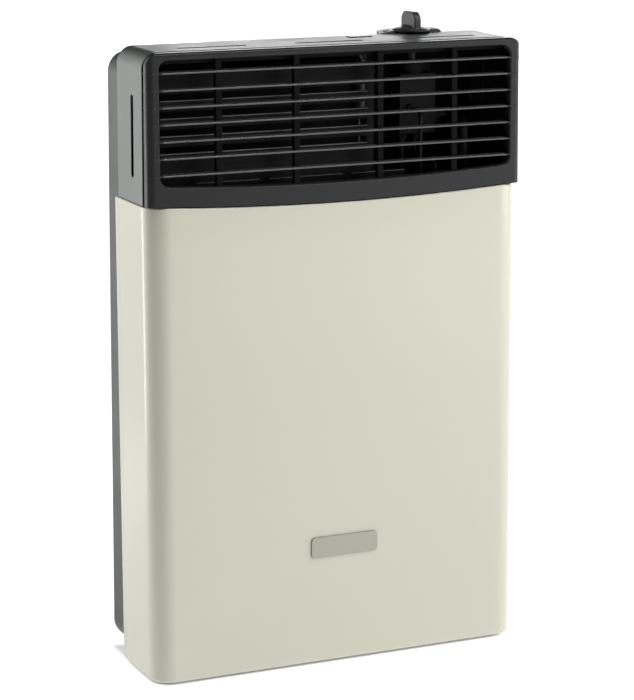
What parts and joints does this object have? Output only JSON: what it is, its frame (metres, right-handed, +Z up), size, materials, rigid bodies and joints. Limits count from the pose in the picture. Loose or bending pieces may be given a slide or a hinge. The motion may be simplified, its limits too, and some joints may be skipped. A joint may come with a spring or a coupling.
{
  "type": "wall mounted gas heater",
  "caption": "Wall mounted balanced flue gas heater with an ivory front cover, dark head and back panel, black louvred grille, top control knob and igniter button.",
  "frame": {"origin": "centre of the four wall bolt holes, on the wall plane", "axes": "+X to the right seen from the room, +Y into the wall, +Z up"},
  "size_m": [0.402, 0.1596, 0.6415],
  "materials": {
    "dark_paint": "satin dark grey stove paint",
    "cream_paint": "gloss warm ivory stove paint",
    "black_plastic": "matte black heat resistant plastic",
    "grey_plastic": "fine grained dark grey plastic",
    "badge_metal": "brushed bare plate",
    "zinc_steel": "zinc plated steel",
    "spring_steel": "bright drawn wire",
    "black_enamel": "dull black enamel",
    "brass": "turned brass",
    "cast_aluminium": "die cast",
    "pipe_aluminium": "drawn tube",
    "copper": "bare copper capillary",
    "cable_rubber": "black silicone insulation",
    "ceramic": "white insulator",
    "fibre_seal": "pressed ceramic fibre",
    "window_glass": "clear heat resistant glass"
  },
  "bodies": {
    "heater": {"back_panel": "dark_paint", "upper_housing": "dark_paint", "grille": "black_plastic", "front_cover": "cream_paint", "badge_plate": "badge_metal", "side_straps": "zinc_steel", "cover_clips": "zinc_steel", "grille_screws": "zinc_steel", "control_bezel": "grey_plastic", "bezel_screws": "zinc_steel", "gas_valve_body": "cast_aluminium", "valve_bracket": "zinc_steel", "valve_screws": "zinc_steel", "igniter_spring": "spring_steel", "igniter_body": "black_plastic", "igniter_bracket": "zinc_steel", "igniter_lead": "cable_rubber", "spark_electrode": "ceramic", "pilot_burner": "zinc_steel", "pilot_bracket": "zinc_steel", "pilot_pipe": "pipe_aluminium", "thermocouple": "copper", "burner_tube": "black_enamel", "burner_saddles": "zinc_steel", "injector_holder": "brass", "burner_pipe": "pipe_aluminium", "inlet_pipe": "pipe_aluminium", "gas_inlet_fitting": "brass", "inlet_bracket": "zinc_steel", "pipe_clips": "zinc_steel", "chamber_body": "black_enamel", "chamber_gasket": "fibre_seal", "chamber_front_plate": "black_enamel", "chamber_screws": "zinc_steel", "chamber_nuts": "zinc_steel", "sight_glass": "window_glass", "window_frame": "zinc_steel", "flue_outlet": "black_enamel", "duct_gasket": "fibre_seal", "air_duct_box": "zinc_steel", "air_intake_collar": "zinc_steel", "chamber_brackets": "zinc_steel", "air_deflector": "black_enamel"},
    "valve": {"valve_plug": "brass", "valve_spring": "spring_steel"},
    "knob": {"control_knob": "grey_plastic", "valve_spindle": "brass"},
    "button": {"igniter_button": "black_plastic"},
    "shutter": {"air_shutter": "zinc_steel"}
  },
  "joints": [
    {"name": "knob_turn", "type": "hinge", "parent": "heater", "child": "valve", "pos_m": [0.118, -0.029, 0.24], "axis": [0, 0, 1], "range_deg": [0, 180]},
    {"name": "knob_push", "type": "slide", "parent": "valve", "child": "knob", "axis": [0, 0, -1], "range_m": [0, 0.005], "stiffness_N_per_m": 900, "springref_m": -0.003, "deforming": ["valve_spring"]},
    {"name": "igniter_press", "type": "slide", "parent": "heater", "child": "button", "axis": [0, 0, -1], "range_m": [0, 0.004], "stiffness_N_per_m": 1500, "springref_m": -0.002, "deforming": ["igniter_spring"]},
    {"name": "air_shutter_turn", "type": "hinge", "parent": "heater", "child": "shutter", "pos_m": [0.029, -0.046, -0.198], "axis": [1, 0, 0], "range_deg": [0, 60]}
  ]
}
